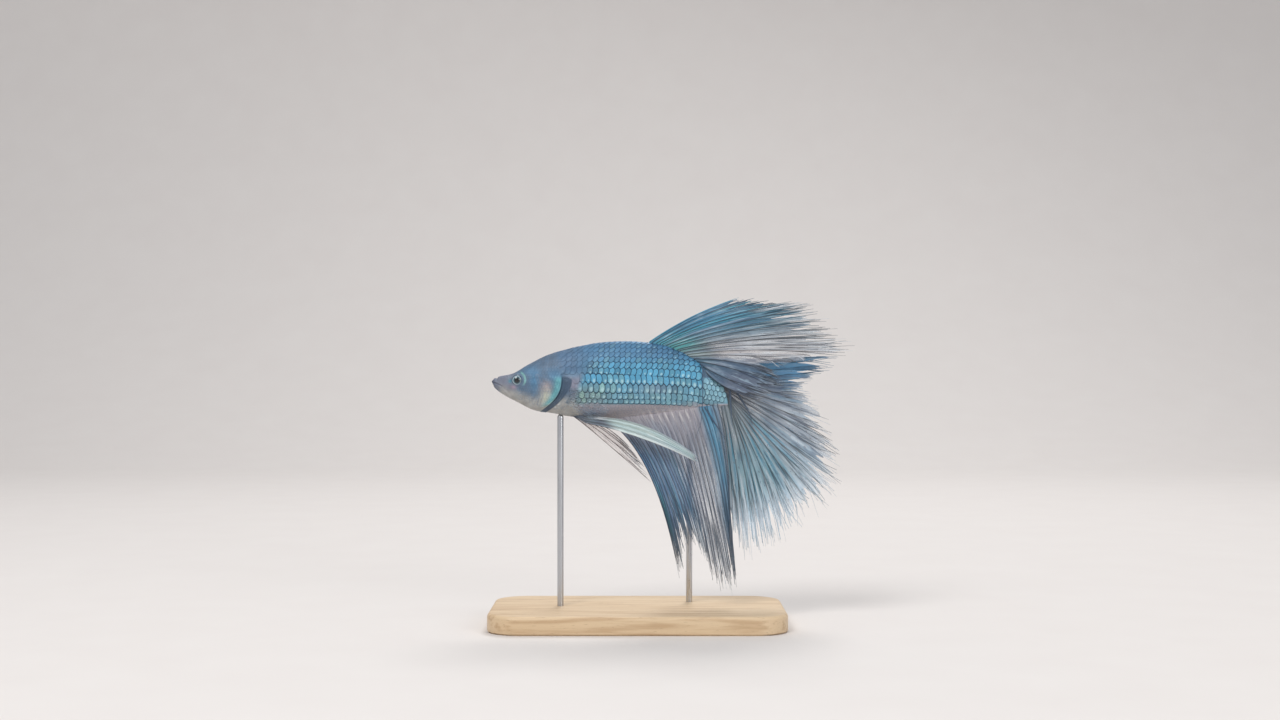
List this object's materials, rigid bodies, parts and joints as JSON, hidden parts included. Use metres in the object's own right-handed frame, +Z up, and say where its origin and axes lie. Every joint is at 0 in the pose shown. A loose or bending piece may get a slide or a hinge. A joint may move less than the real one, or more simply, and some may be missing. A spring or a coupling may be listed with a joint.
{
  "type": "betta fish model on a stand",
  "caption": "Life-size still model of a long-finned male betta fish in side view pose, held over a flat base by slim rods.",
  "frame": {"origin": "centre of the stand base's flat underside", "axes": "+Z up, the fish's head towards -X and its left flank towards -Y"},
  "size_m": [0.0671, 0.03, 0.062],
  "materials": {
    "scaled_skin": "turquoise-blue iridescent scales with dark edges, satin, over slate skin",
    "face_skin": "slate grey-blue skin with teal flecks, satin",
    "gill_cover_skin": "grey skin with a turquoise rim and a pale gold patch, satin",
    "eyeball": "dark pupil in a pale silvery ring, glossy and wet",
    "fin_web": "thin blue-teal and grey-mauve web between dark rays, part see-through",
    "pale_fin": "pale mint-white blade with fine rays",
    "clear_fin": "nearly clear web with fine grey rays",
    "stand_wood": "pale maple, oiled, satin",
    "stand_steel": "fine brushed stainless steel"
  },
  "bodies": {
    "root": {"head": "face_skin", "lower_jaw": "face_skin", "gill_cover_left": "gill_cover_skin", "gill_cover_right": "gill_cover_skin", "eye_left": "eyeball", "eye_right": "eyeball", "trunk": "scaled_skin", "tail_stalk": "scaled_skin", "dorsal_fin": "fin_web", "caudal_fin": "fin_web", "anal_fin": "fin_web", "pelvic_fin_left": "pale_fin", "pelvic_fin_right": "pale_fin", "pectoral_fin_left": "clear_fin", "pectoral_fin_right": "clear_fin", "stand_base": "stand_wood", "stand_rod_front": "stand_steel", "stand_rod_rear": "stand_steel"}
  },
  "joints": []
}
